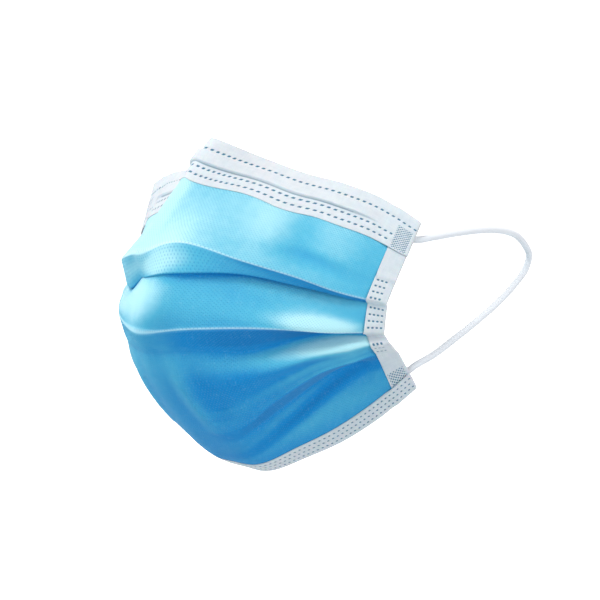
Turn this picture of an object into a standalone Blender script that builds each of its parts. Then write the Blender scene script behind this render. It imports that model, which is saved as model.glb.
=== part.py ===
"""Three-pleat surgical face mask, opened as it is worn, in metres with +Z up.

The front faces -Y, the wearer's face is towards +Y, and the origin is the middle of the top hem,
where it lies on the bridge of the nose. The cloth is worked out from fold lines that run from
one side hem to the other. Each piece of cloth is a sheet that is given its wall afterwards.
"""

from typing import NamedTuple

import bpy
import numpy as np

# Driving dimensions of the opened mask
HALF_WIDTH = 0.0665
CUP_DEPTH = 0.045
FACE_HEIGHT = 0.134
CLOTH_WALL = 0.0010

# Bindings, folded over the four edges
BINDING_WALL = 0.0010
TOP_BINDING = 0.0190
TOP_TURNED_IN = 0.0100
BOTTOM_BINDING = 0.0055
BOTTOM_TURNED_IN = 0.0055
SIDE_BINDING = 0.0078
SIDE_TURNED_IN = 0.0078

# Nose wire and the channel that it makes in the top binding
WIRE_WIDTH = 0.0032
WIRE_WALL = 0.0008
WIRE_BELOW_HEM = 0.0084
WIRE_REACH = 0.63
CHANNEL_RUN_OUT = 0.035
CHANNEL_EASE = 0.0012

# Ear loops
CORD_DIAMETER = 0.0028
LOOP_REACH = 0.072
WELD_LENGTH = 0.0065
CORD_STEP = 2.4 * CORD_DIAMETER

# Fits and rounding
CLEARANCE = 0.0003
FOLD_RADIUS = 0.0022

# Grid of the cloth: its columns from side to side, and the points of each rounded fold
COLUMNS = 38
FOLD_POINTS = 3

# How much of the shorter neighbour a rounded fold may take up
FOLD_SHARE = 0.45

# Steps that slopes are read over: a share across the half width, and a length
SHARE_STEP = 0.002
LENGTH_STEP = 0.002

# The way in which a panel bellies out at a side hem: outwards, backwards and up
BELLY_WAY = (0.8, -1.0, -0.15)

# Where the strip's edge points stand over a hem, as shares of its stand-off from the cloth
TURN_SHARES = (0.6, -0.6)

# Where along the half width the stations of a fold line lie
STATIONS = np.linspace(0, 1, 6)


class Fold(NamedTuple):
    """One line of the cloth from side to side, by its stations from the middle to the side hem.

    Out is a share of HALF_WIDTH, depth of CUP_DEPTH, forwards when negative, and drop of
    FACE_HEIGHT. The left half hangs a little lower and further in, by its own depth and drop.
    Rounding says how softly the line turns over the middle plane.
    """

    rounding: float
    out: tuple
    depth: tuple
    drop: tuple
    left_depth: tuple
    left_drop: tuple


FOLDS = (
    # Top hem
    Fold(
        rounding=0.05,
        out=(0.0, 0.175, 0.380, 0.590, 0.795, 1.0),
        depth=(0.0, 0.350, 0.550, 0.695, 0.850, 1.0),
        drop=(0.0, 0.065, 0.106, 0.130, 0.169, 0.234),
        left_depth=(0.0, 0.020, 0.025, 0.015, -0.020, -0.065),
        left_drop=(0.0, 0.015, 0.030, 0.035, 0.025, 0.010),
    ),
    # First pleat: its fold, and the crease where its tuck ends
    Fold(
        rounding=0.04,
        out=(0.0, 0.175, 0.400, 0.620, 0.795, 0.960),
        depth=(-1.0, -0.805, -0.455, -0.065, 0.270, 0.600),
        drop=(0.275, 0.242, 0.293, 0.353, 0.409, 0.450),
        left_depth=(0.0, -0.030, 0.010, 0.045, 0.030, 0.0),
        left_drop=(0.0, 0.075, 0.075, 0.050, 0.025, 0.0),
    ),
    Fold(
        rounding=0.05,
        out=(0.0, 0.190, 0.400, 0.605, 0.785, 0.960),
        depth=(-0.865, -0.735, -0.340, 0.085, 0.360, 0.610),
        drop=(0.355, 0.334, 0.343, 0.389, 0.427, 0.460),
        left_depth=(0.0, 0.0, -0.010, -0.020, -0.010, 0.0),
        left_drop=(0.0, 0.075, 0.075, 0.045, 0.025, 0.0),
    ),
    # Second pleat
    Fold(
        rounding=0.10,
        out=(0.0, 0.190, 0.410, 0.620, 0.785, 0.945),
        depth=(-1.0, -0.835, -0.470, -0.065, 0.275, 0.600),
        drop=(0.505, 0.488, 0.492, 0.505, 0.521, 0.536),
        left_depth=(0.0, 0.045, 0.035, 0.015, 0.010, 0.0),
        left_drop=(0.0, 0.005, 0.005, 0.0, 0.0, 0.0),
    ),
    Fold(
        rounding=0.10,
        out=(0.0, 0.190, 0.400, 0.600, 0.775, 0.945),
        depth=(-0.910, -0.720, -0.315, 0.105, 0.370, 0.610),
        drop=(0.564, 0.557, 0.562, 0.538, 0.533, 0.546),
        left_depth=(0.0, 0.0, 0.025, 0.045, 0.025, 0.0),
        left_drop=(0.0, 0.0, 0.0, 0.0, 0.0, 0.0),
    ),
    # Third pleat
    Fold(
        rounding=0.15,
        out=(0.0, 0.190, 0.415, 0.635, 0.800, 0.955),
        depth=(-0.265, -0.210, -0.030, 0.215, 0.480, 0.755),
        drop=(0.865, 0.834, 0.729, 0.646, 0.616, 0.600),
        left_depth=(0.0, 0.060, 0.035, -0.005, -0.005, 0.0),
        left_drop=(0.0, 0.0, 0.0, 0.0, 0.0, 0.0),
    ),
    Fold(
        rounding=0.15,
        out=(0.0, 0.190, 0.400, 0.605, 0.780, 0.955),
        depth=(-0.200, -0.115, 0.110, 0.370, 0.585, 0.800),
        drop=(0.885, 0.870, 0.786, 0.708, 0.657, 0.612),
        left_depth=(0.0, 0.085, 0.050, -0.005, -0.010, 0.0),
        left_drop=(0.0, -0.010, -0.005, 0.0, 0.0, 0.0),
    ),
    # Bottom hem
    Fold(
        rounding=0.15,
        out=(0.0, 0.175, 0.390, 0.605, 0.800, 0.990),
        depth=(0.280, 0.300, 0.450, 0.645, 0.820, 1.0),
        drop=(1.0, 0.995, 0.943, 0.885, 0.812, 0.719),
        left_depth=(0.0, 0.060, 0.065, 0.040, 0.020, 0.0),
        left_drop=(0.0, -0.030, -0.035, -0.030, -0.015, 0.0),
    ),
)


class Panel(NamedTuple):
    """The cloth from one fold line to the next: how far it bellies out, and its rows of faces."""

    belly: float
    rows: int


PANELS = (
    # Upper panel and first tuck
    Panel(0.0010, 5),
    Panel(0.0, 1),
    # Middle panel and second tuck
    Panel(0.0015, 3),
    Panel(0.0, 1),
    # Lower panel and third tuck
    Panel(0.0025, 6),
    Panel(0.0, 1),
    # Chin panel
    Panel(0.0015, 4),
)

# Ear loop between its two welds: back as a share of LOOP_REACH, down as a share of the way
# from the upper weld to the lower, out as a share of LOOP_REACH from the straight line
LOOP_ROUTE = (
    (0.10, -0.010, 0.035),
    (0.24, -0.010, 0.065),
    (0.42, 0.000, 0.090),
    (0.60, 0.020, 0.105),
    (0.76, 0.060, 0.115),
    (0.88, 0.125, 0.115),
    (0.96, 0.220, 0.115),
    (1.00, 0.340, 0.115),
    (0.96, 0.450, 0.115),
    (0.86, 0.560, 0.110),
    (0.71, 0.675, 0.100),
    (0.53, 0.785, 0.080),
    (0.33, 0.885, 0.060),
    (0.14, 0.965, 0.035),
)
UPPER_WELD = 0.10
LOWER_WELD = 0.945

# Colours: linear red, green and blue, then roughness and metallic
CLOTH_BLUE = ((0.075, 0.440, 0.740), 0.85, 0.0)
BINDING_WHITE = ((0.800, 0.830, 0.870), 0.80, 0.0)
WIRE_GREY = ((0.560, 0.570, 0.580), 0.35, 1.0)
CORD_WHITE = ((0.840, 0.850, 0.880), 0.75, 0.0)


def material(name, finish):
    """A Principled material with this colour, roughness and metallic value."""
    colour, roughness, metallic = finish
    made = bpy.data.materials.new(name)
    made.use_nodes = True
    shader = made.node_tree.nodes["Principled BSDF"]
    shader.inputs["Base Color"].default_value = (*colour, 1.0)
    shader.inputs["Roughness"].default_value = roughness
    shader.inputs["Metallic"].default_value = metallic
    made.diffuse_color = (*colour, 1.0)
    return made


def smooth_through(places, values, at):
    """Hermite curve through the values at their places, read at each of the places in at."""
    slopes = np.gradient(values, places, axis=0)
    first = np.clip(np.searchsorted(places, at, side="right") - 1, 0, len(places) - 2)
    span = (places[first + 1] - places[first])[:, None]
    share = (at - places[first])[:, None] / span
    rest = 1 - share
    return (
        (1 + 2 * share) * rest**2 * values[first]
        + share * rest**2 * span * slopes[first]
        + share**2 * (3 - 2 * share) * values[first + 1]
        - share**2 * rest * span * slopes[first + 1]
    )


def fold_stations(fold, left):
    """The fold line's stations on one half, in metres."""
    depth = np.array(fold.depth)
    drop = np.array(fold.drop)
    if left:
        depth += fold.left_depth
        drop += fold.left_drop
    places = [np.array(fold.out) * HALF_WIDTH, depth * CUP_DEPTH, -drop * FACE_HEIGHT]
    return np.stack(places, axis=-1)


def fold_line(fold, across):
    """Points of a fold line, where across runs from -1 at the left side hem to 1 at the right.

    The way outwards follows the share across itself. Depth and drop follow a share that starts
    flat at the middle plane, so that the line turns over it with the fold's own rounding.
    """
    share = np.abs(across)
    soft = np.sqrt(share**2 + fold.rounding**2) - fold.rounding
    soft /= np.sqrt(1 + fold.rounding**2) - fold.rounding
    points = np.zeros((len(across), 3))
    for sign, half in ((1, across >= 0), (-1, across < 0)):
        stations = fold_stations(fold, sign < 0)
        points[half] = smooth_through(STATIONS, stations, soft[half])
        points[half, 0] = sign * smooth_through(STATIONS, stations, share[half])[:, 0]
    return points


def unit(vectors):
    """The vectors at length one."""
    return vectors / np.maximum(np.linalg.norm(vectors, axis=-1, keepdims=True), 1e-9)


def belly_way(across):
    """Unit directions in which the panels belly out: forwards, and outwards towards the sides."""
    outwards, backwards, upwards = BELLY_WAY
    level = np.ones_like(across)
    return unit(np.stack([outwards * across, backwards * level, upwards * level], axis=-1))


def belly_push(panel, across, share):
    """How far a panel bellies out: most halfway down it, and nothing at the side hems."""
    return panel.belly * (1 - across**4) * 4 * share * (1 - share)


def cloth_rows(across):
    """Middle surface of the cloth as rows from the top hem to the bottom hem.

    Between two fold lines a row is a straight share of the way, pushed out by the belly. Each
    fold itself is a quadratic bend, no longer than FOLD_RADIUS or its share of the shorter panel.
    """
    lines = [fold_line(fold, across) for fold in FOLDS]
    rows = [lines[0]]
    start = lines[0]
    for number, panel in enumerate(PANELS):
        upper, lower = lines[number], lines[number + 1]
        last = number == len(PANELS) - 1
        end = lower
        if not last:
            back, forth = upper - lower, lines[number + 2] - lower
            shorter = np.minimum(np.linalg.norm(back, axis=1), np.linalg.norm(forth, axis=1))
            reach = np.minimum(FOLD_RADIUS, FOLD_SHARE * shorter)[:, None]
            end = lower + unit(back) * reach
        for row in range(1, panel.rows + 1):
            share = row / panel.rows
            push = belly_push(panel, across, share)[:, None]
            rows.append(start + (end - start) * share + belly_way(across) * push)
        if last:
            continue
        start = lower + unit(forth) * reach
        for point in range(1, FOLD_POINTS):
            share = point / (FOLD_POINTS - 1)
            bend = (1 - share) ** 2 * end + 2 * share * (1 - share) * lower + share**2 * start
            rows.append(bend)
    return np.array(rows)


def cloth_frame(across):
    """Middle surface, its unit normals to the front, and its unit way towards the right."""
    middle = cloth_rows(across)
    rightwards = unit(cloth_rows(across + SHARE_STEP) - cloth_rows(across - SHARE_STEP))
    downwards = unit(np.gradient(middle, axis=0))
    return middle, unit(np.cross(downwards, rightwards)), rightwards


def hem_point(across, below, from_bottom):
    """Points on the cloth a length in from the top hem, or from the bottom hem, square to it."""
    hem = FOLDS[-1 if from_bottom else 0]
    fold = FOLDS[-2 if from_bottom else 1]
    panel = PANELS[-1 if from_bottom else 0]
    start = fold_line(hem, across)
    along = unit(fold_line(hem, across + SHARE_STEP) - fold_line(hem, across - SHARE_STEP))
    down = fold_line(fold, across) - start
    slant = np.sqrt(1 - np.sum(along * unit(down), axis=1) ** 2)
    share = below / (slant * np.linalg.norm(down, axis=1))
    push = belly_push(panel, across, share)[:, None]
    return start + down * share[:, None] + belly_way(across) * push


def hem_frame(across, below, from_bottom=False):
    """A line on the cloth a length in from a hem, its normals to the front and its way inwards."""
    middle = hem_point(across, below, from_bottom)
    beside = hem_point(across + SHARE_STEP, below, from_bottom)
    rightwards = unit(beside - hem_point(across - SHARE_STEP, below, from_bottom))
    further = hem_point(across, below + LENGTH_STEP, from_bottom)
    inwards = unit(further - hem_point(across, below - LENGTH_STEP, from_bottom))
    normal = unit(np.cross(inwards, rightwards))
    return middle, -normal if from_bottom else normal, inwards


def sheet(name, grid, wall, finish):
    """An object from a grid of points, rows by columns, with a wall to both sides of it."""
    rows, columns = grid.shape[:2]
    corner = np.arange(rows * columns).reshape(rows, columns)
    faces = np.stack([corner[:-1, :-1], corner[1:, :-1], corner[1:, 1:], corner[:-1, 1:]], axis=-1)
    mesh = bpy.data.meshes.new(name)
    mesh.from_pydata(grid.reshape(-1, 3).tolist(), [], faces.reshape(-1, 4).tolist())
    mesh.materials.append(finish)
    mesh.shade_smooth()
    made = bpy.data.objects.new(name, mesh)
    bpy.context.collection.objects.link(made)
    solid = made.modifiers.new("Wall", "SOLIDIFY")
    solid.thickness = wall
    solid.offset = 0.0
    return made


def side_share(sign, inwards):
    """The share across that a length in from a side hem takes up, by the middle row's width."""
    ends = cloth_rows(np.array([sign * (1 - SHARE_STEP), sign * 1.0]))
    widths = np.linalg.norm(ends[:, 1] - ends[:, 0], axis=1)
    return inwards * SHARE_STEP / np.median(widths)


def hem_columns():
    """Places across for a hem's binding, which ends at the side bindings' inner edges."""
    inset = SIDE_BINDING + 2 * CLEARANCE
    return np.linspace(side_share(-1, inset) - 1, 1 - side_share(1, inset), COLUMNS + 1)


def mask_body(finish):
    """The pleated panel from hem to hem."""
    across = np.linspace(-1, 1, COLUMNS + 1)
    return sheet("mask_body", cloth_rows(across), CLOTH_WALL, finish)


def channel_height(across, below):
    """How far the top binding stands off for the wire: full over it, run out past its ends."""
    beside = np.abs(below - WIRE_BELOW_HEM) - (WIRE_WIDTH / 2 + CLEARANCE)
    over = np.clip(1 - beside / CHANNEL_EASE, 0, 1)
    past = np.clip((np.abs(across) - WIRE_REACH - CLEARANCE / HALF_WIDTH) / CHANNEL_RUN_OUT, 0, 1)
    return (WIRE_WALL + CLEARANCE) * over * (1 - past**2 * (3 - 2 * past))


def hem_binding(name, outside, inside, from_bottom, raised, finish):
    """A strip folded over the top or bottom hem: an outer flap, the turn and an inner flap."""
    across = hem_columns()
    stand_off = CLOTH_WALL / 2 + CLEARANCE + BINDING_WALL / 2
    past_hem = CLEARANCE + BINDING_WALL / 2
    lines = []
    for below, away in outside + [(0.0, 1.0)]:
        middle, normal, _ = hem_frame(across, below, from_bottom)
        lift = stand_off * away
        if raised:
            lift = lift + channel_height(across, below)[:, None]
        lines.append(middle + normal * lift)
    middle, normal, inwards = hem_frame(across, 0.0, from_bottom)
    for away in TURN_SHARES:
        lines.append(middle - inwards * past_hem + normal * stand_off * away)
    for below in inside:
        middle, normal, _ = hem_frame(across, below, from_bottom)
        lines.append(middle - normal * stand_off)
    return sheet(name, np.array(lines), BINDING_WALL, finish)


def top_binding(finish):
    """The wide top strip, with the channel raised over the nose wire."""
    half = WIRE_WIDTH / 2 + CLEARANCE
    edges = [
        TOP_BINDING,
        (TOP_BINDING + WIRE_BELOW_HEM + half + CHANNEL_EASE) / 2,
        WIRE_BELOW_HEM + half + CHANNEL_EASE,
        WIRE_BELOW_HEM + half,
        WIRE_BELOW_HEM - half,
        WIRE_BELOW_HEM - half - CHANNEL_EASE,
        (WIRE_BELOW_HEM - half - CHANNEL_EASE) / 2,
    ]
    outside = [(below, 1.0) for below in edges]
    inside = [0.0, TOP_TURNED_IN / 2, TOP_TURNED_IN]
    return hem_binding("top_binding", outside, inside, False, True, finish)


def bottom_binding(finish):
    """The narrow strip over the bottom hem."""
    outside = [(BOTTOM_BINDING, 1.0), (BOTTOM_BINDING / 2, 1.0)]
    inside = [0.0, BOTTOM_TURNED_IN / 2, BOTTOM_TURNED_IN]
    return hem_binding("bottom_binding", outside, inside, True, False, finish)


def nose_wire(finish):
    """The flat wire between the cloth and the top binding."""
    across = np.linspace(-WIRE_REACH, WIRE_REACH, 2 * round(COLUMNS * WIRE_REACH / 2) + 1)
    lift = CLOTH_WALL / 2 + CLEARANCE + WIRE_WALL / 2
    lines = []
    for side in (-0.5, 0.5):
        middle, normal, _ = hem_frame(across, WIRE_BELOW_HEM + side * WIRE_WIDTH)
        lines.append(middle + normal * lift)
    return sheet("nose_wire", np.array(lines), WIRE_WALL, finish)


def side_frame(sign, inwards):
    """Middle surface, normals and the way out of the cloth at a length in from a side hem."""
    across = np.array([sign * (1 - side_share(sign, inwards))])
    middle, normal, rightwards = cloth_frame(across)
    return middle[:, 0], normal[:, 0], sign * rightwards[:, 0]


def past_ends(points):
    """The line made longer at both ends by the width that the hem bindings stand proud."""
    proud = CLEARANCE + BINDING_WALL
    first = points[0] + unit(points[0] - points[1]) * proud
    last = points[-1] + unit(points[-1] - points[-2]) * proud
    return np.concatenate([first[None], points, last[None]])


def side_binding(name, sign, finish):
    """A strip folded over the pleats' ends at one side hem, from corner to corner."""
    stand_off = CLOTH_WALL / 2 + CLEARANCE + BINDING_WALL / 2
    past_hem = CLEARANCE + BINDING_WALL / 2
    lines = []
    for inwards in (SIDE_BINDING, SIDE_BINDING / 2, 0.0):
        middle, normal, _ = side_frame(sign, inwards)
        lines.append(past_ends(middle + normal * stand_off))
    middle, normal, outwards = side_frame(sign, 0.0)
    for away in TURN_SHARES:
        lines.append(past_ends(middle + outwards * past_hem + normal * stand_off * away))
    for inwards in (0.0, SIDE_TURNED_IN / 2, SIDE_TURNED_IN):
        middle, normal, _ = side_frame(sign, inwards)
        lines.append(past_ends(middle - normal * stand_off))
    return sheet(name, np.array(lines), BINDING_WALL, finish)


def on_rows(points, share):
    """The point at a share of the way down a line of rows."""
    lengths = np.linalg.norm(np.diff(points, axis=0), axis=1)
    down = np.concatenate([[0.0], np.cumsum(lengths)])
    return np.array([np.interp(share * down[-1], down, points[:, axis]) for axis in range(3)])


def weld_points(sign, down_share):
    """Where one end of an ear loop lies on the turned-in flap: its tip, its middle and its exit."""
    behind = CLOTH_WALL / 2 + 2 * CLEARANCE + BINDING_WALL + CORD_DIAMETER / 2
    points = []
    for inwards in (WELD_LENGTH, WELD_LENGTH / 2, -CORD_DIAMETER):
        middle, normal, outwards = side_frame(sign, max(inwards, 0.0))
        line = middle - normal * behind + outwards * max(-inwards, 0.0)
        points.append(on_rows(line, down_share))
    return points


def loop_route(sign):
    """The loop's own points from the tip at its upper weld to the tip at its lower weld."""
    upper = weld_points(sign, UPPER_WELD)
    lower = weld_points(sign, LOWER_WELD)
    start, end = upper[-1], lower[-1]
    back = np.array([0.0, 1.0, 0.0])
    out = np.array([sign * 1.0, 0.0, 0.0])
    between = [
        start + (end - start) * down + (back * along + out * aside) * LOOP_REACH
        for along, down, aside in LOOP_ROUTE
    ]
    return np.array(upper + between + lower[::-1])


def even_points(route, step):
    """Points an even step apart on a smooth curve through the route's own points."""
    chord = np.concatenate([[0.0], np.cumsum(np.linalg.norm(np.diff(route, axis=0), axis=1))])
    fine = smooth_through(chord, route, np.linspace(0, chord[-1], 40 * len(route)))
    length = np.concatenate([[0.0], np.cumsum(np.linalg.norm(np.diff(fine, axis=0), axis=1))])
    stops = np.linspace(0, length[-1], round(length[-1] / step) + 1)
    return np.stack([np.interp(stops, length, fine[:, axis]) for axis in range(3)], axis=-1)


def ear_loop(name, sign, finish):
    """The round elastic cord of one side, as a curve with a round bevel and filled ends."""
    points = even_points(loop_route(sign), CORD_STEP)
    curve = bpy.data.curves.new(name, "CURVE")
    curve.dimensions = "3D"
    curve.bevel_depth = CORD_DIAMETER / 2
    curve.bevel_resolution = 2
    curve.use_fill_caps = True
    spline = curve.splines.new("POLY")
    spline.points.add(len(points) - 1)
    for point, place in zip(spline.points, points):
        point.co = (*place, 1.0)
    spline.use_smooth = True
    curve.materials.append(finish)
    made = bpy.data.objects.new(name, curve)
    bpy.context.collection.objects.link(made)
    return made


def main():
    """Clears the scene and builds the mask's pieces."""
    for old in list(bpy.data.objects):
        bpy.data.objects.remove(old, do_unlink=True)
    blue = material("cloth_blue", CLOTH_BLUE)
    white = material("binding_white", BINDING_WHITE)
    grey = material("wire_grey", WIRE_GREY)
    cord = material("cord_white", CORD_WHITE)
    mask_body(blue)
    top_binding(white)
    bottom_binding(white)
    nose_wire(grey)
    for side, sign in (("left", -1), ("right", 1)):
        side_binding(f"side_binding_{side}", sign, white)
        ear_loop(f"ear_loop_{side}", sign, cord)


main()
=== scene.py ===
"""Looks of an opened three-pleat surgical face mask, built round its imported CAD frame.

Lengths are metres, +Z is up, the front faces -Y and the origin is the middle of the top hem.
The cloth is one surface of two parameters: across, from -1 at the left side hem to 1 at the
right, and down, which counts the panels from the top hem. The bindings follow that surface.
"""

import logging
from dataclasses import dataclass
from enum import Enum

import bpy
import numpy as np
from mathutils import Matrix


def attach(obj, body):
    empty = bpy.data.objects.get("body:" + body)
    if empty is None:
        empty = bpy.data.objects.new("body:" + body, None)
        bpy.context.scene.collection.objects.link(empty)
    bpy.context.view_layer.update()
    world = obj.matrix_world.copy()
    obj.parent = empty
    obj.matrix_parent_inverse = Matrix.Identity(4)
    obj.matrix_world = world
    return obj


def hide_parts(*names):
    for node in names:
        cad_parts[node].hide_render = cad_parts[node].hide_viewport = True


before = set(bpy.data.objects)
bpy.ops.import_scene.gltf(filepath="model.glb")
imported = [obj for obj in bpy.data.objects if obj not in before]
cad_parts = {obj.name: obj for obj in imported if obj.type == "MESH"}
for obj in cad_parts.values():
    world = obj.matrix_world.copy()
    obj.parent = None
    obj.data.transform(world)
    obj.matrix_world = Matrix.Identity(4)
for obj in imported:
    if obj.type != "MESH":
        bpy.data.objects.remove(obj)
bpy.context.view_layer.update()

Array = np.ndarray
Colour = tuple[float, float, float]
LOG = logging.getLogger("surgical_face_mask")

MM = 0.001
FLAT_SPAN = 0.2
SHARE_STEP = 0.002
DENSE_PLACES = 4001
TURN_ANGLES = np.linspace(0, np.pi, 7)[1:-1]
UP = np.array([0.0, 0.0, 1.0])


class Side(Enum):
    """The wearer's two sides, by the sign of X."""

    LEFT = -1
    RIGHT = 1


class Hem(Enum):
    """The two hems that run from side to side."""

    TOP = "top"
    BOTTOM = "bottom"


def unit(vectors: Array) -> Array:
    """The vectors divided by their lengths."""
    return vectors / np.maximum(np.linalg.norm(vectors, axis=-1, keepdims=True), 1e-9)


def ease(share: Array) -> Array:
    """The share held to 0 and 1, as 3 s squared less 2 s cubed."""
    held = np.clip(share, 0.0, 1.0)
    return held**2 * (3 - 2 * held)


def bell(offset: Array) -> Array:
    """A smooth hill, e to the power of minus the offset squared."""
    return np.exp(-(offset**2))


def run_length(points: Array) -> Array:
    """Length along a line of points, from 0 at its first."""
    return np.concatenate([[0.0], np.cumsum(np.linalg.norm(np.diff(points, axis=0), axis=1))])


def smoothed(
    field: Array, passes: int, axes: tuple[int, ...], weight: Array | float = 1.0
) -> Array:
    """A field in which each pass moves a point by a quarter of its second difference.

    Args:
        field: the numbers or points, rows by columns.
        passes: how many times.
        axes: along the columns, the rows or both in turn.
        weight: a factor at each inner point.

    Returns:
        The field, smoothed.
    """
    moved = field.copy()
    for axis in axes * passes:
        line = np.moveaxis(moved, axis, 0)
        line[1:-1] += 0.25 * weight * (line[:-2] - 2 * line[1:-1] + line[2:])
    return moved


def smooth_through(places: Array, values: Array, at: Array) -> Array:
    """Cubic Hermite curve through values, with each slope read from the two neighbours.

    Args:
        places: where the values lie, rising.
        values: one row of numbers for each place.
        at: where the curve is read.

    Returns:
        One row of numbers for each reading place.
    """
    slopes = np.gradient(values, places, axis=0)
    first = np.clip(np.searchsorted(places, at, side="right") - 1, 0, len(places) - 2)
    span = (places[first + 1] - places[first])[:, None]
    share = (at - places[first])[:, None] / span
    rest = 1 - share
    return (
        (1 + 2 * share) * rest**2 * values[first]
        + share * rest**2 * span * slopes[first]
        + share**2 * (3 - 2 * share) * values[first + 1]
        - share**2 * rest * span * slopes[first + 1]
    )


@dataclass(frozen=True)
class Fold:
    """A line of the cloth from side to side, by six stations from the middle to the side hem.

    Out is a share of the half width, depth of the cup's depth, forwards when negative, and drop
    of the face's height. The left half adds its own depth and drop.
    """

    rounding: float
    out: tuple[float, ...]
    depth: tuple[float, ...]
    drop: tuple[float, ...]
    left_depth: tuple[float, ...]
    left_drop: tuple[float, ...]


FOLDS = (
    Fold(  # top hem
        0.05,
        (0.0, 0.175, 0.380, 0.590, 0.795, 1.0),
        (0.0, 0.350, 0.550, 0.695, 0.850, 1.0),
        (0.0, 0.065, 0.106, 0.130, 0.169, 0.234),
        (0.0, 0.020, 0.025, 0.015, -0.020, -0.065),
        (0.0, 0.015, 0.030, 0.035, 0.025, 0.010),
    ),
    Fold(  # first fold
        0.04,
        (0.0, 0.175, 0.400, 0.620, 0.795, 0.960),
        (-1.0, -0.805, -0.455, -0.065, 0.270, 0.600),
        (0.275, 0.242, 0.293, 0.353, 0.409, 0.450),
        (0.0, -0.030, 0.010, 0.045, 0.030, 0.0),
        (0.0, 0.075, 0.075, 0.050, 0.025, 0.0),
    ),
    Fold(  # first crease
        0.05,
        (0.0, 0.190, 0.400, 0.605, 0.785, 0.960),
        (-0.865, -0.735, -0.340, 0.085, 0.360, 0.610),
        (0.355, 0.334, 0.343, 0.389, 0.427, 0.460),
        (0.0, 0.0, -0.010, -0.020, -0.010, 0.0),
        (0.0, 0.075, 0.075, 0.045, 0.025, 0.0),
    ),
    Fold(  # second fold
        0.10,
        (0.0, 0.190, 0.410, 0.620, 0.785, 0.945),
        (-1.0, -0.835, -0.470, -0.065, 0.275, 0.600),
        (0.505, 0.488, 0.492, 0.505, 0.521, 0.536),
        (0.0, 0.045, 0.035, 0.015, 0.010, 0.0),
        (0.0, 0.005, 0.005, 0.0, 0.0, 0.0),
    ),
    Fold(  # second crease
        0.10,
        (0.0, 0.190, 0.400, 0.600, 0.775, 0.945),
        (-0.910, -0.720, -0.315, 0.105, 0.370, 0.610),
        (0.564, 0.557, 0.562, 0.538, 0.533, 0.546),
        (0.0, 0.0, 0.025, 0.045, 0.025, 0.0),
        (0.0, 0.0, 0.0, 0.0, 0.0, 0.0),
    ),
    Fold(  # third fold
        0.15,
        (0.0, 0.190, 0.415, 0.635, 0.800, 0.955),
        (-0.265, -0.210, -0.030, 0.215, 0.480, 0.755),
        (0.865, 0.834, 0.729, 0.646, 0.616, 0.600),
        (0.0, 0.060, 0.035, -0.005, -0.005, 0.0),
        (0.0, 0.0, 0.0, 0.0, 0.0, 0.0),
    ),
    Fold(  # third crease
        0.15,
        (0.0, 0.190, 0.400, 0.605, 0.780, 0.955),
        (-0.200, -0.115, 0.110, 0.370, 0.585, 0.800),
        (0.885, 0.870, 0.786, 0.708, 0.657, 0.612),
        (0.0, 0.085, 0.050, -0.005, -0.010, 0.0),
        (0.0, -0.010, -0.005, 0.0, 0.0, 0.0),
    ),
    Fold(  # bottom hem
        0.15,
        (0.0, 0.175, 0.390, 0.605, 0.800, 0.990),
        (0.280, 0.300, 0.450, 0.645, 0.820, 1.0),
        (1.0, 0.995, 0.943, 0.885, 0.812, 0.719),
        (0.0, 0.060, 0.065, 0.040, 0.020, 0.0),
        (0.0, -0.030, -0.035, -0.030, -0.015, 0.0),
    ),
)


@dataclass(frozen=True)
class Swell:
    """A soft ridge, or a dent where its height is negative, at a place of the cloth.

    Across and wide are shares of the half width, down and tall count panels, and tilt says how
    far across its line moves in one panel down. The left half has the same, times left. The last
    field paints a highlight there, or painted shade where it is negative.
    """

    across: float
    down: float
    wide: float
    tall: float
    height: float
    tilt: float = 0.0
    left: float = 0.8
    painted_lightness: float = 0.0


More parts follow.
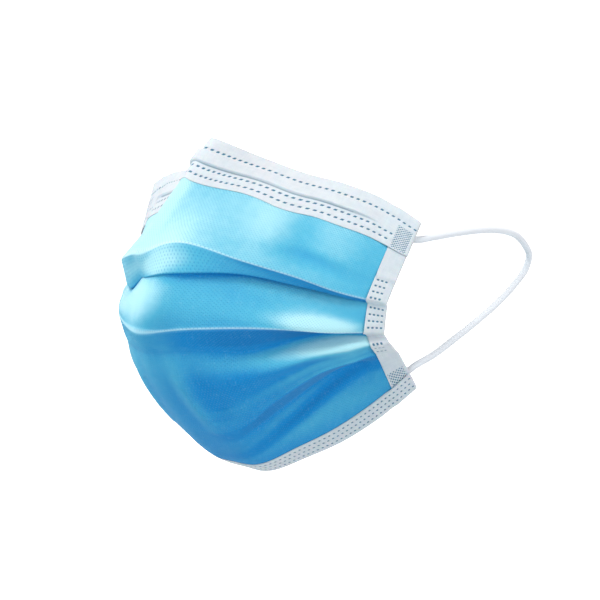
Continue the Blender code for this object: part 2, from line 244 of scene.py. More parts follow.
SWELLS = (
    # Upper panel: a soft edge that runs down from the nose, a dent along its fold, and a painted
    # highlight along the nose
    Swell(0.44, 0.55, 0.090, 0.36, 1.7 * MM, 0.08),
    Swell(0.58, 0.55, 0.070, 0.32, -1.1 * MM, 0.10),
    Swell(0.76, 0.60, 0.090, 0.28, 0.7 * MM, 0.05),
    Swell(0.66, 0.80, 0.150, 0.08, -1.5 * MM, 0.30),
    Swell(0.64, 0.95, 0.200, 0.07, 0.5 * MM),
    Swell(0.22, 0.60, 0.080, 0.30, -0.6 * MM),
    Swell(0.70, 0.45, 0.130, 0.28, 0.1 * MM, 0.0, 17.0),
    Swell(0.01, 0.60, 0.040, 0.50, 0.0, painted_lightness=0.30),
    # First pleat: a painted highlight on its front beside the nose
    Swell(0.10, 1.50, 0.170, 0.45, 0.0, painted_lightness=0.40),
    # Middle panel: hollow at the nose, full towards the cheek, with painted highlights and a
    # painted shadow under the first tuck
    Swell(0.74, 3.92, 0.170, 0.26, 3.4 * MM, 0.15, painted_lightness=0.60),
    Swell(0.02, 3.50, 0.080, 0.40, 0.0, painted_lightness=0.20),
    Swell(0.40, 3.02, 0.300, 0.12, 0.0, painted_lightness=-0.60),
    Swell(0.40, 3.40, 0.110, 0.35, -1.2 * MM, 0.30),
    Swell(0.16, 3.50, 0.060, 0.40, 0.6 * MM),
    # Second tuck: painted shade
    Swell(0.55, 4.55, 0.250, 0.60, 0.0, painted_lightness=-0.30),
    # Lower panel: a ridge from the gathered side, and a ridge down beside the chin, with a painted
    # highlight at the side and painted shade in its middle
    Swell(0.50, 5.10, 0.200, 0.10, -1.6 * MM, 0.30),
    Swell(0.72, 5.45, 0.300, 0.23, 2.6 * MM, 0.20),
    Swell(0.86, 5.58, 0.200, 0.45, 0.0, painted_lightness=0.40),
    Swell(0.42, 5.42, 0.200, 0.18, 0.0, 0.20, painted_lightness=-0.30),
    Swell(0.52, 5.66, 0.200, 0.13, -1.5 * MM, 0.20),
    Swell(0.17, 5.60, 0.050, 0.46, 1.5 * MM, 0.05),
    Swell(0.27, 5.60, 0.060, 0.30, -1.3 * MM, 0.05),
    Swell(0.27, 5.70, 0.060, 0.030, -0.5 * MM),
    Swell(0.25, 5.86, 0.050, 0.025, -0.5 * MM),
    Swell(0.86, 5.30, 0.160, 0.16, 1.4 * MM),
    # Chin panel, with painted shade under the third fold
    Swell(0.50, 7.55, 0.300, 0.22, 0.9 * MM),
    Swell(0.62, 7.22, 0.170, 0.22, 0.0, -1.40, painted_lightness=-0.75),
    Swell(0.78, 7.40, 0.120, 0.16, -0.6 * MM),
)


# By the panel count: the folds whose edges carry a painted highlight, and the tucks' ends
OUTER_FOLDS = (1.0, 4.0)
TUCKS = ((2.0, 3.1), (4.05, 5.0), (6.0, 7.0))


@dataclass(frozen=True)
class PleatedCloth:
    """The middle surface of the mask's cloth, opened as it is worn."""

    half_width: float = 0.0665
    cup_depth: float = 0.045
    face_height: float = 0.134
    fold_radii: tuple[float, ...] = (0.0006, 0.0005, 0.0008, 0.0006, 0.0012, 0.0010, 0.0012)
    soft_radius: float = 0.0010
    soft_radius_wide: float = 0.12
    fold_share: float = 0.45
    fold_points: int = 7
    fold_reach: float = 0.04
    lip_after: int = 2
    lip_forwards: float = 0.0034
    lip_down: float = -0.0006
    lip_back: float = 0.0014
    lip_up: float = 0.0006
    third_forwards: float = 0.0030
    third_down: float = 0.0006
    third_back: float = 0.0022
    third_up: float = 0.0036
    lip_least: float = 0.1
    lip_spread: tuple[float, float] = (0.55, 0.30)
    third_spread: tuple[float, float] = (0.70, 0.28)
    strip_edge: float = 0.93
    strip_run_out: float = 0.12
    painted_tuck_shade: float = 0.35
    tuck_ease: float = 0.1
    tuck_across: tuple[float, float] = (0.12, 0.25)
    gather_height: float = 0.00020
    gather_width: float = 0.16
    gather_turns: float = 3.0
    gather_start: float = 5.12
    gather_down: tuple[float, float, float] = (5.0, 6.0, 0.2)
    soft_passes: int = 400
    nose_up: float = 0.40
    nose_rise: tuple[float, float, float] = (0.0055, 0.13, 0.12)
    nose_dent: tuple[float, float, float] = (0.0028, -0.22, 0.16)
    soft_across: tuple[float, float] = (0.14, 0.42)
    soft_down: tuple[float, float, float, float] = (5.3, 5.9, 7.2, 7.65)
    bellies: tuple[float, ...] = (0.0010, 0.0, 0.0, 0.0020, 0.0, 0.0030, 0.0, 0.0020)
    belly_way: tuple[float, float, float] = (0.8, -1.0, -0.15)

    def line(self, fold: Fold, across: Array) -> Array:
        """Points of one fold line.

        The way out follows the share across, s. Depth and drop follow the soft share, the root
        of s squared plus r squared, less r, with r the fold's rounding, brought to 1 at the hem.

        Args:
            fold: the line's stations.
            across: where along it the points lie.

        Returns:
            One point for each place across.
        """
        share = np.abs(across)
        soft = np.sqrt(share**2 + fold.rounding**2) - fold.rounding
        soft /= np.sqrt(1 + fold.rounding**2) - fold.rounding
        places = np.linspace(0, 1, len(fold.out))
        points = np.zeros((len(across), 3))
        for sign, half in ((1, across >= 0), (-1, across < 0)):
            depth, drop = np.array(fold.depth), np.array(fold.drop)
            if sign < 0:
                depth, drop = depth + fold.left_depth, drop + fold.left_drop
            sizes = (self.half_width, self.cup_depth, -self.face_height)
            stations = np.stack([np.array(fold.out), depth, drop], axis=-1) * sizes
            points[half] = smooth_through(places, stations, soft[half])
            points[half, 0] = sign * smooth_through(places, stations, share[half])[:, 0]
        return points

    def outwards(self, across: Array) -> Array:
        """The unit way in which the cloth bellies out.

        Args:
            across: places across.

        Returns:
            One way for each place.
        """
        level = np.ones_like(across)
        way = [self.belly_way[0] * across, self.belly_way[1] * level, self.belly_way[2] * level]
        return unit(np.stack(way, axis=-1))

    def lines(self, across: Array) -> list[Array]:
        """All the lines that part the panels, with the first tuck's lip put in.

        The lip's edge stands forwards and down from the first crease, and its root back and up,
        by a bell over the cheek, so that the tuck hangs over the middle panel. Beside the nose
        the crease itself stands out on the right and in on the left. The third fold hangs over
        its crease in the same way.

        Args:
            across: where the lines are read.

        Returns:
            The lines from the top hem to the bottom hem.
        """
        lines = [self.line(fold, across) for fold in FOLDS]
        crease = lines[self.lip_after]
        (place, width), (third_place, third_width) = self.lip_spread, self.third_spread
        much = bell((np.abs(across) - place) / width)[:, None]
        much = self.lip_least + (1 - self.lip_least) * much
        third = bell((np.abs(across) - third_place) / third_width)[:, None]
        way = self.outwards(across)
        for sign, (height, place, width) in ((1, self.nose_rise), (-1, self.nose_dent)):
            shift = sign * height * bell((across - place) / width)
            crease = crease + shift[:, None] * (way + self.nose_up * UP)
        clear = ease((self.strip_edge - np.abs(across)) / self.strip_run_out)[:, None]
        much, third = much * clear, third * clear
        lines[-3] = lines[-3] + third * (way * self.third_forwards - UP * self.third_down)
        lines[-2] = lines[-2] + third * (UP * self.third_up - way * self.third_back)
        edge = crease + much * (way * self.lip_forwards - UP * self.lip_down)
        root = crease + much * (UP * self.lip_up - way * self.lip_back)
        return lines[: self.lip_after] + [edge, root] + lines[self.lip_after + 1 :]

    def swell(self, across: Array, down: Array) -> Array:
        """Height of the ridges and dents, the sum of their bells, with small pleats at the side.

        Args:
            across: places across, of any shape.
            down: panel counts, of the same shape or one that fits it.

        Returns:
            How far the cloth stands out there.
        """
        total = np.zeros(np.broadcast(across, down).shape)
        for one in SWELLS:
            much = np.where(across < 0, one.left, 1.0) * one.height
            total += much * self.shape(one, across, down)
        first, last, soft = self.gather_down
        near = bell((1.0 - np.abs(across)) / self.gather_width)
        near = near * ease((down - first) / soft) * ease((last - down) / soft)
        wave = np.cos(2 * np.pi * self.gather_turns * (down - self.gather_start))
        return total + self.gather_height * near * wave

    def shape(self, one: Swell, across: Array, down: Array) -> Array:
        """One swell's bell, 1 at its middle."""
        aside = np.abs(across) - one.across - one.tilt * (down - one.down)
        return bell(aside / one.wide) * bell((down - one.down) / one.tall)

    def painted_lightness_at(self, across: Array, down: Array) -> Array:
        """Painted light and shade: painted highlights and shade from the swells, and painted shade
        in the closed tucks.

        Args:
            across: places across, of any shape.
            down: panel counts, of the same shape or one that fits it.

        Returns:
            What to add to the painted light and shade there.
        """
        pale = sum(one.painted_lightness * self.shape(one, across, down) for one in SWELLS)
        soft, (start, wide) = self.tuck_ease, self.tuck_across
        closed = sum(ease((down - low) / soft) * ease((high - down) / soft) for low, high in TUCKS)
        # Painted shade in the closed tucks, away from the middle
        return pale - self.painted_tuck_shade * closed * ease((np.abs(across) - start) / wide)

    def belly(self, panel: int, across: Array, share: Array) -> Array:
        """The panel's own belly: its height times 4 s (1 - s), and nothing at the side hems."""
        return self.bellies[panel] * (1 - across**4) * 4 * share * (1 - share)

    def rows(self, across: Array, counts: tuple[int, ...]) -> tuple[Array, Array]:
        """The cloth as rows of points from the top hem to the bottom hem.

        Between two lines a row is a straight share of the way, pushed out by the belly, and each
        fold is a quadratic bend, (1 - s)^2 a + 2 s (1 - s) b + s^2 c. Swells come on top.

        Args:
            across: places across, one for each column.
            counts: rows of faces in each panel.

        Returns:
            The points, rows by columns, and each row's place down.
        """
        lines = self.lines(across)
        last = len(lines) - 2
        soft = self.soft_radius * bell(across / self.soft_radius_wide)
        way = self.outwards(across)
        blocks, places = [lines[0][None]], [np.zeros(1)]
        start = lines[0]
        for number in range(last + 1):
            upper, lower = lines[number], lines[number + 1]
            end = lower
            if number < last:
                back, forth = upper - lower, lines[number + 2] - lower
                sides = np.linalg.norm([back, forth], axis=-1)
                radius = self.fold_radii[number] + soft
                reach = np.minimum(radius, self.fold_share * sides.min(axis=0))[:, None]
                end = lower + unit(back) * reach
            share = np.linspace(0, 1, counts[number] + 1)[1:, None]
            push = self.belly(number, across[None], share)[..., None]
            blocks.append(start + (end - start) * share[..., None] + way * push)
            near = self.fold_reach if number else 0.0
            far = self.fold_reach if number < last else 0.0
            places.append(number + near + share[:, 0] * (1 - near - far))
            if number < last:
                start = lower + unit(forth) * reach
                turn = np.linspace(0, 1, self.fold_points)[1:, None, None]
                bend = (1 - turn) ** 2 * end + 2 * turn * (1 - turn) * lower + turn**2 * start
                blocks.append(bend)
                places.append(number + 1 + self.fold_reach * (2 * turn[:, 0, 0] - 1))
        down = np.concatenate(places)
        points = self.softened(np.concatenate(blocks), across, down)
        return points + way * self.swell(across[None], down[:, None])[..., None], down

    def softened(self, points: Array, across: Array, down: Array) -> Array:
        """The rows with the third pleat run out towards the chin.

        The weight is 1 near the middle and nothing at the cheeks and the hems.

        Args:
            points: rows by columns.
            across: places across.
            down: each row's place down.

        Returns:
            The points, softened.
        """
        near, far = self.soft_across
        first, second, third, last = self.soft_down
        weight = ease((down - first) / (second - first)) * ease((last - down) / (last - third))
        weight = weight[1:-1, None] * ease((far - np.abs(across)) / (far - near))
        return smoothed(points, self.soft_passes, (0,), weight[..., None])

    def hem_point(self, hem: Hem, across: Array, inwards: Array) -> Array:
        """Points on the cloth a length in from a hem, square to it.

        Args:
            hem: which hem.
            across: places across, one for each column.
            inwards: lengths in from the hem, one for each row.

        Returns:
            The points, rows by columns.
        """
        lines = self.lines(across)
        first, second, panel = (0, 1, 0) if hem is Hem.TOP else (-1, -2, len(lines) - 2)
        fold = FOLDS[first]
        ahead, behind = self.line(fold, across + SHARE_STEP), self.line(fold, across - SHARE_STEP)
        down = lines[second] - lines[first]
        slant = np.sqrt(1 - np.sum(unit(ahead - behind) * unit(down), axis=1) ** 2)
        share = inwards[:, None] / (slant * np.linalg.norm(down, axis=1))
        place = share if hem is Hem.TOP else panel + 1 - share
        push = self.belly(panel, across[None], share) + self.swell(across[None], place)
        return lines[first] + down * share[..., None] + self.outwards(across) * push[..., None]

    def hem_surface(self, hem: Hem, across: Array, inwards: Array) -> tuple[Array, Array]:
        """The cloth beside a hem, and its normals to the front.

        Args:
            hem: which hem.
            across: places across, one for each column.
            inwards: lengths in from the hem, one for each row.

        Returns:
            The points and the normals, rows by columns.
        """
        step = 0.5 * MM
        middle = self.hem_point(hem, across, inwards)
        right = self.hem_point(hem, across + SHARE_STEP, inwards)
        right = right - self.hem_point(hem, across - SHARE_STEP, inwards)
        inner = self.hem_point(hem, across, inwards + step)
        inner = inner - self.hem_point(hem, across, inwards - step)
        normal = unit(np.cross(inner, right))
        return middle, normal if hem is Hem.TOP else -normal

    def even_across(self, hem: Hem, inset: float, step: float) -> tuple[Array, Array]:
        """Places across that lie an even step apart along a hem.

        Args:
            hem: which hem.
            inset: length left free at each end.
            step: length between two places.

        Returns:
            The places, and their lengths along the hem from its middle.
        """
        dense = np.linspace(-1, 1, DENSE_PLACES)
        length = run_length(self.line(FOLDS[0 if hem is Hem.TOP else -1], dense))
        length -= np.interp(0.0, dense, length)
        first, last = length[0] + inset, length[-1] - inset
        along = np.arange(np.ceil(first / step), np.floor(last / step) + 1) * step
        along[0], along[-1] = first, last
        return np.interp(along, length, dense), along


class Wiring:
    """Adds nodes to one node tree and joins their sockets."""

    def __init__(self, tree: bpy.types.NodeTree) -> None:
        """Keeps the tree."""
        self.tree = tree

    def feed(self, socket: bpy.types.NodeSocket, value) -> None:
        """Joins a socket to an input, or sets the input's own value.

        Args:
            socket: the input.
            value: a number, a colour, a vector or the socket to join.
        """
        if isinstance(value, bpy.types.NodeSocket):
            self.tree.links.new(value, socket)
        elif socket.type == "RGBA" and len(value) == 3:
            socket.default_value = (*value, 1.0)
        else:
            socket.default_value = value

    def fill(self, node: bpy.types.Node, **inputs) -> None:
        """Feeds a node's inputs by their names, with _ for a blank."""
        for name, value in inputs.items():
            self.feed(node.inputs[name.replace("_", " ")], value)

    def add(self, kind: str, settings: dict | None = None, **inputs) -> bpy.types.Node:
        """A new node.

        Args:
            kind: the node's type, less its ShaderNode.
            settings: its own options by name.
            inputs: numbers, colours or sockets by the input's name, with _ for a blank.

        Returns:
            The node.
        """
        node = self.tree.nodes.new(f"ShaderNode{kind}")
        for name, value in (settings or {}).items():
            setattr(node, name, value)
        self.fill(node, **inputs)
        return node

    def result(self, kind: str, settings: dict, *values) -> bpy.types.NodeSocket:
        """The first output of a new node whose inputs are fed in their order.

        Args:
            kind: the node's type, less its ShaderNode.
            settings: its own options by name.
            values: numbers or sockets.

        Returns:
            The output.
        """
        node = self.add(kind, settings)
        for socket, value in zip(node.inputs, values):
            self.feed(socket, value)
        return node.outputs[0]

    def math(self, operation: str, *values) -> bpy.types.NodeSocket:
        """The result of a Math node on one or two numbers or sockets."""
        return self.result("Math", {"operation": operation}, *values)

    def span(self, value, low: float, high: float, first: float = 0.0, last: float = 1.0):
        """The value brought from low and high to first and last, with eased ends."""
        settings = {"interpolation_type": "SMOOTHSTEP"}
        return self.result("MapRange", settings, value, low, high, first, last)

    def blend(self, share, first, second) -> bpy.types.NodeSocket:
        """A colour between two others.

        Args:
            share: how much of the second, from 0 to 1.
            first: a colour or socket.
            second: a colour or socket.

        Returns:
            The mixed colour.
        """
        node = self.add("Mix", {"data_type": "RGBA"})
        for place, value in ((0, share), (6, first), (7, second)):
            self.feed(node.inputs[place], value)
        return node.outputs[2]

    def tint(self, base, mask, much: float, colour: Colour) -> bpy.types.NodeSocket:
        """The base brought towards another colour, by a mask times much."""
        return self.blend(self.math("MULTIPLY", mask, much), base, colour)

    def noise(self, vector, scale: float, detail: float) -> bpy.types.NodeSocket:
        """The value of a noise texture."""
        return self.add("TexNoise", Vector=vector, Scale=scale, Detail=detail).outputs["Fac"]

    def bump(self, height, strength: float, distance: float) -> bpy.types.NodeSocket:
        """The normal of a Bump node."""
        return self.add("Bump", Strength=strength, Distance=distance, Height=height).outputs[0]

    def attribute(self, name: str) -> bpy.types.NodeSocket:
        """A number that the mesh keeps at each point."""
        return self.add("Attribute", {"attribute_name": name}).outputs["Fac"]

    def flat_place(self) -> bpy.types.NodeSocket:
        """The piece's own UV map, brought back to metres of flat cloth."""
        source = self.add("UVMap", {"uv_map": "Flat"}).outputs[0]
        return self.add("Mapping", Vector=source, Scale=(FLAT_SPAN, FLAT_SPAN, 1.0)).outputs[0]

    def web(self, group: bpy.types.ShaderNodeTree, pitch: float) -> bpy.types.bpy_prop_collection:
        """The fibre web's outputs on the flat map, with its bond points a pitch apart."""
        settings = {"node_tree": group}
        return self.add("Group", settings, Place=self.flat_place(), Bond_Pitch=pitch).outputs


@dataclass(frozen=True)
class FibreWeb:
    """The shared look of spun-bonded cloth, as height, bond points, fibres and clouds."""

    bond_low: float = 0.30
    bond_high: float = 0.85
    fibre_scale: float = 1400.0
    fibre_stretch: float = 0.16
    cloud_scale: float = 330.0
    detail: float = 3.0
    fibre_height: float = 0.8
    bond_depth: float = 0.6

    def build(self) -> bpy.types.ShaderNodeTree:
        """The node group.

        Bond points lie where sin(2 pi x / p) sin(2 pi y / p) is high, a staggered lattice.
        Fibres are the mean of two stretched noises that cross, and clouds are a wide noise.

        Returns:
            The group, from a place and the bond pitch p.
        """
        tree = bpy.data.node_groups.new("fibre_web", "ShaderNodeTree")
        for name, kind in (("Place", "NodeSocketVector"), ("Bond Pitch", "NodeSocketFloat")):
            tree.interface.new_socket(name, in_out="INPUT", socket_type=kind)
        for name in ("Height", "Bonds", "Fibres", "Clouds"):
            tree.interface.new_socket(name, in_out="OUTPUT", socket_type="NodeSocketFloat")
        wire = Wiring(tree)
        given = tree.nodes.new("NodeGroupInput").outputs
        place = given["Place"]
        parts = wire.add("SeparateXYZ", Vector=place).outputs
        waves, threads = [], []
        for axis in (0, 1):
            turns = wire.math("DIVIDE", parts[axis], given["Bond Pitch"])
            waves.append(wire.math("SINE", wire.math("MULTIPLY", turns, 2 * np.pi)))
            stretch = [1.0, 1.0, 1.0]
            stretch[1 - axis] = self.fibre_stretch
            moved = wire.add("Mapping", Vector=place, Scale=stretch).outputs[0]
            threads.append(wire.noise(moved, self.fibre_scale, self.detail))
        bonds = wire.span(wire.math("MULTIPLY", *waves), self.bond_low, self.bond_high)
        fibres = wire.math("MULTIPLY", wire.math("ADD", *threads), 0.5)
        raised = wire.math("MULTIPLY", fibres, self.fibre_height)
        height = wire.math("SUBTRACT", raised, wire.math("MULTIPLY", bonds, self.bond_depth))
        clouds = wire.noise(place, self.cloud_scale, self.detail)
        out = tree.nodes.new("NodeGroupOutput")
        wire.fill(out, Height=height, Bonds=bonds, Fibres=fibres, Clouds=clouds)
        return tree


@dataclass(frozen=True)
class Finish:
    """What all the finishes share: a name, a colour and how rough it is."""

    name: str
    colour: Colour
    roughness: float

    def start(self) -> tuple[bpy.types.Material, Wiring, bpy.types.Node]:
        """A new material.

        Returns:
            The material, its wiring and its Principled shader.
        """
        made = bpy.data.materials.new(self.name)
        made.use_nodes = True
        made.diffuse_color = (*self.colour, 1.0)
        shader = made.node_tree.nodes["Principled BSDF"]
        shader.inputs["Roughness"].default_value = self.roughness
        return made, Wiring(made.node_tree), shader


@dataclass(frozen=True)
class SpunCloth(Finish):
    """Spun-bonded cloth, dimpled all over, with painted shade in its tucks and hollows and painted
    highlights along its folds and crests.
    """

    shade: Colour
    pale: Colour
    deep: Colour
    fold_highlight: Colour = (0.78, 0.92, 0.95)
    bond_pitch: float = 0.0013
    cloudiness: float = 0.12
    fold_highlight_share: float = 0.50
    speckle: float = 0.10
    bond_shade: float = 0.32
    bond_gloss: float = 0.22
    relief: float = 1.00
    stops: tuple[tuple[float, float], ...] = ((-0.5, 0.0), (0.0, 0.62), (0.5, 1.0))

    def build(self, web: bpy.types.ShaderNodeTree) -> bpy.types.Material:
        """The material, on the piece's flat map and its attributes of painted light and shade and
        of painted fold highlights.

        Args:
            web: the shared fibre group.

        Returns:
            The material.
        """
        made, wire, shader = self.start()
        cloth = wire.web(web, self.bond_pitch)
        cloudy = wire.math("MULTIPLY", wire.math("SUBTRACT", cloth["Clouds"], 0.5), self.cloudiness)
        painted_light_tone = wire.math("ADD", wire.attribute("painted_light_tone"), cloudy)
        # Painted light and shade: the ramp runs through shaded copies of the colour (deep, shade),
        # the colour, and a lit copy (pale)
        base = self.deep
        for (low, high), colour in zip(self.stops, (self.shade, self.colour, self.pale)):
            base = wire.blend(wire.span(painted_light_tone, low, high), base, colour)
        # Painted highlight along the edge of each outer fold
        base = wire.tint(base, wire.attribute("edge"), self.fold_highlight_share, self.fold_highlight)
        base = wire.tint(base, wire.span(cloth["Fibres"], 0.50, 0.75), self.speckle, self.pale)
        base = wire.tint(base, cloth["Bonds"], self.bond_shade, self.shade)
        smooth = self.roughness - self.bond_gloss
        wire.fill(
            shader,
            Base_Color=base,
            Roughness=wire.span(cloth["Bonds"], 0.0, 1.0, self.roughness, smooth),
            Normal=wire.bump(cloth["Height"], self.relief, 0.3 * MM),
            Specular_IOR_Level=0.25,
            Sheen_Weight=0.08,
            Sheen_Roughness=0.45,
            Subsurface_Weight=0.20,
            Subsurface_Radius=(0.6, 1.0, 1.0),
            Subsurface_Scale=2 * MM,
        )
        return made


@dataclass(frozen=True)
class WeldedStrip(Finish):
    """White spun-bonded strip, pressed to a bluish film at its welds; the same colour is also
    painted as a shadow line under the nose wire.
    """

    shade: Colour
    weld: Colour
    bond_pitch: float = 0.00085
    cloudiness: float = 0.5
    fibre_shade: float = 0.40
    bond_shade: float = 0.25
    weld_share: float = 0.95
    weld_gloss: float = 0.35
    relief: float = 0.30

    def build(self, web: bpy.types.ShaderNodeTree) -> bpy.types.Material:
        """The material, on the strip's flat map and its weld attribute.

        Args:
            web: the shared fibre group.

        Returns:
            The material.
        """
        made, wire, shader = self.start()
        cloth = wire.web(web, self.bond_pitch)
        clouds = wire.span(cloth["Clouds"], 0.35, 0.75)
        base = wire.tint(self.colour, clouds, self.cloudiness, self.shade)
        base = wire.tint(base, wire.span(cloth["Fibres"], 0.42, 0.62), self.fibre_shade, self.shade)
        base = wire.tint(base, cloth["Bonds"], self.bond_shade, self.shade)
        pressed = wire.span(wire.attribute("weld"), 0.25, 0.75)
        smooth = self.roughness - self.weld_gloss
        wire.fill(
            shader,
            Base_Color=wire.tint(base, pressed, self.weld_share, self.weld),
            Roughness=wire.span(pressed, 0.0, 1.0, self.roughness, smooth),
            Normal=wire.bump(cloth["Height"], self.relief, 0.2 * MM),
            Sheen_Weight=0.15,
            Sheen_Roughness=0.5,
            Subsurface_Weight=0.2,
            Subsurface_Scale=1.5 * MM,
        )
        return made


@dataclass(frozen=True)
class KnittedCord(Finish):
    """Soft white knitted elastic, with painted shade in the valleys between its ribs."""

    shade: Colour
    valley_shade: float = 0.30
    fuzz_scale: float = 5000.0
    fuzz_shade: float = 0.2

    def build(self) -> bpy.types.Material:
        """The material, on the cord's rib attribute and its flat map.

        Returns:
            The material.
        """
        made, wire, shader = self.start()
        fuzz = wire.noise(wire.flat_place(), self.fuzz_scale, 2.0)
        valley = wire.math("SUBTRACT", 1.0, wire.attribute("rib"))
        # Painted shade in the valleys between the ribs
        base = wire.tint(self.colour, valley, self.valley_shade, self.shade)
        base = wire.tint(base, wire.span(fuzz, 0.4, 0.7), self.fuzz_shade, self.shade)
        normal = wire.bump(fuzz, 0.15, 0.1 * MM)
        wire.fill(shader, Base_Color=base, Normal=normal, Sheen_Weight=0.35, Sheen_Roughness=0.5)
        return made


@dataclass(frozen=True)
class DrawnWire(Finish):
    """Plain drawn aluminium, with fine marks along it."""

    mark: Colour
    mark_scale: float = 1800.0

    def build(self) -> bpy.types.Material:
        """The material, on object coordinates.

        Returns:
            The material.
        """
        made, wire, shader = self.start()
        source = wire.add("TexCoord").outputs["Object"]
        marks = wire.noise(source, self.mark_scale, 4.0)
        base = wire.blend(marks, self.colour, self.mark)
        rough = wire.span(marks, 0.3, 0.7, 0.28, 0.45)
        wire.fill(shader, Base_Color=base, Roughness=rough, Metallic=1.0)
        return made


def linked(name: str, data: bpy.types.ID) -> bpy.types.Object:
    """A new object of the scene."""
    made = bpy.data.objects.new(name, data)
    bpy.context.collection.objects.link(made)
    return made


def mesh_object(
    name: str,
    points: Array,
    faces: list,
    flat: Array,
    fields: dict[str, Array],
    materials: list[bpy.types.Material],
) -> bpy.types.Object:
    """A smooth mesh with a flat map and numbers at its points.

    Args:
        name: the piece's name.
        points: its points.
        faces: each face's corners.
        flat: where each point lies on the flat cloth, in metres.
        fields: numbers to keep at the points, by name.
        materials: its finishes.

    Returns:
        The object, at the origin.
    """
    mesh = bpy.data.meshes.new(name)
    mesh.from_pydata(points.tolist(), [], faces)
    corner = np.zeros(len(mesh.loops), dtype=np.int32)
    mesh.loops.foreach_get("vertex_index", corner)
    layer = mesh.uv_layers.new(name="Flat")
    layer.data.foreach_set("uv", (flat / FLAT_SPAN)[corner].ravel())
    for label, values in fields.items():
        kept = mesh.attributes.new(label, "FLOAT", "POINT")
        kept.data.foreach_set("value", values.ravel())
    for finish in materials:
        mesh.materials.append(finish)
    mesh.shade_smooth()
    return linked(name, mesh)


def flat_map(along: Array, down: Array) -> Array:
    """Flat places from each column's length along and each row's length down."""
    return np.stack(np.broadcast_arrays(along[None], down[:, None]), axis=-1)


def sheet_object(
    name: str,
    grid: Array,
    flat: Array,
    wall: float,
    materials: list[bpy.types.Material],
    fields: dict[str, Array],
) -> bpy.types.Object:
    """A piece of cloth from a grid of points, with half its wall to each side of them.

    Args:
        name: the piece's name.
        grid: its points, rows by columns.
        flat: where each point lies on the flat cloth, in metres from its middle.
        wall: its thickness.
        materials: its front, and its back where that differs.
        fields: numbers to keep at the points, by name.

    Returns:
        The object, at the origin.
    """
    shape = grid.shape[:2]
    corner = np.arange(shape[0] * shape[1]).reshape(shape)
    faces = np.stack([corner[:-1, :-1], corner[1:, :-1], corner[1:, 1:], corner[:-1, 1:]], axis=-1)
    made = mesh_object(
        name,
        grid.reshape(-1, 3),
        faces.reshape(-1, 4).tolist(),
        flat.reshape(-1, 2) + FLAT_SPAN / 2,
        {label: np.broadcast_to(values, shape) for label, values in fields.items()},
        materials,
    )
    solid = made.modifiers.new("Wall", "SOLIDIFY")
    solid.thickness, solid.offset, solid.material_offset = wall, 0.0, len(materials) - 1
    return made


def settle(piece: bpy.types.Object, slot: str, *nodes: str) -> None:
    """Rides a piece on the mask, in place of the CAD nodes that it stands for.

    Args:
        piece: the piece.
        slot: not used.
        nodes: the CAD nodes.
    """
    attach(piece, "root")
    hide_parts(*nodes)
    LOG.info("%s: %d points", piece.name, len(piece.data.vertices))


@dataclass(frozen=True)
class MaskBody:
    """The pleated blue panel, with its white inner side."""

    cloth: PleatedCloth
    columns: int = 216
    counts: tuple[int, ...] = (46, 10, 8, 24, 8, 38, 8, 24)
    wall: float = 0.0006
    flat_half: float = 0.095
    flat_top: float = 0.09
    edge_wide: float = 0.025
    lit_from: tuple[float, float, float] = (-0.28, -0.35, 0.90)
    blur_passes: int = 60
    painted_light_base: float = 0.37
    painted_light_facing: float = 0.58
    painted_light_crest: float = 100.0
    painted_light_swell: float = 60.0

    def build(self, materials: list[bpy.types.Material]) -> bpy.types.Object:
        """The panel from hem to hem.

        Its painted light and shade runs from -0.5, painted shade in closed tucks, to 1, a painted
        highlight where it is palest, and edge is a bell of painted highlight along each outer fold.

        Args:
            materials: the outer and the inner finish.

        Returns:
            The piece.
        """
        across = np.linspace(-1, 1, self.columns + 1)
        grid, down = self.cloth.rows(across, self.counts)
        fall = run_length(grid[:, 3 * self.columns // 4])
        # Painted highlight: a bell along each outer fold's edge
        edge = sum(bell((down - at) / self.edge_wide) for at in OUTER_FOLDS)
        painted_light_tone = self.painted_light_tone(grid, self.cloth.swell(across[None], down[:, None]))
        painted_light_tone = np.clip(painted_light_tone + self.cloth.painted_lightness_at(across[None], down[:, None]), -0.5, 1)
        flat = flat_map(across * self.flat_half, self.flat_top - fall)
        fields = {"painted_light_tone": painted_light_tone, "edge": edge[:, None]}
        made = sheet_object("pleated_cloth", grid, flat, self.wall, materials, fields)
        settle(made, "cloth", "mask_body")
        return made

    def painted_light_tone(self, grid: Array, swell: Array) -> Array:
        """How pale the cloth is painted: 0, painted shade in deep folds, to 1, a painted highlight
        on crests turned to the light.

        It is a base, plus the normal's share towards the light, plus how far the point stands
        out from the same surface blurred along its rows and columns, plus its own swell. All of it
        is light and shade painted into the colour: the blur's term is painted shade in hollows and
        painted light on crests.

        Args:
            grid: the cloth's points.
            swell: height of the ridges and dents there.

        Returns:
            The painted light and shade at each point.
        """
        normal = unit(np.cross(np.gradient(grid, axis=0), np.gradient(grid, axis=1)))
        blurred = smoothed(grid, self.blur_passes, (0, 1))
        # Painted shade in hollows and painted light on crests, from the height above the blurred
        # surface
        crest = np.sum((grid - blurred) * normal, axis=-1)
        # Painted light: paler where the normal faces a fixed light, darker where it faces away
        lit = smoothed(normal, 3, (0,)) @ unit(np.array(self.lit_from))
        painted_light_tone = self.painted_light_base + self.painted_light_facing * lit + self.painted_light_crest * crest
        return np.clip(painted_light_tone + self.painted_light_swell * swell, 0, 1)


def inside(depth: Array, soft: float) -> Array:
    """1 well inside an edge and 0 outside, over a straight ramp."""
    return np.clip(depth / soft + 0.5, 0, 1)


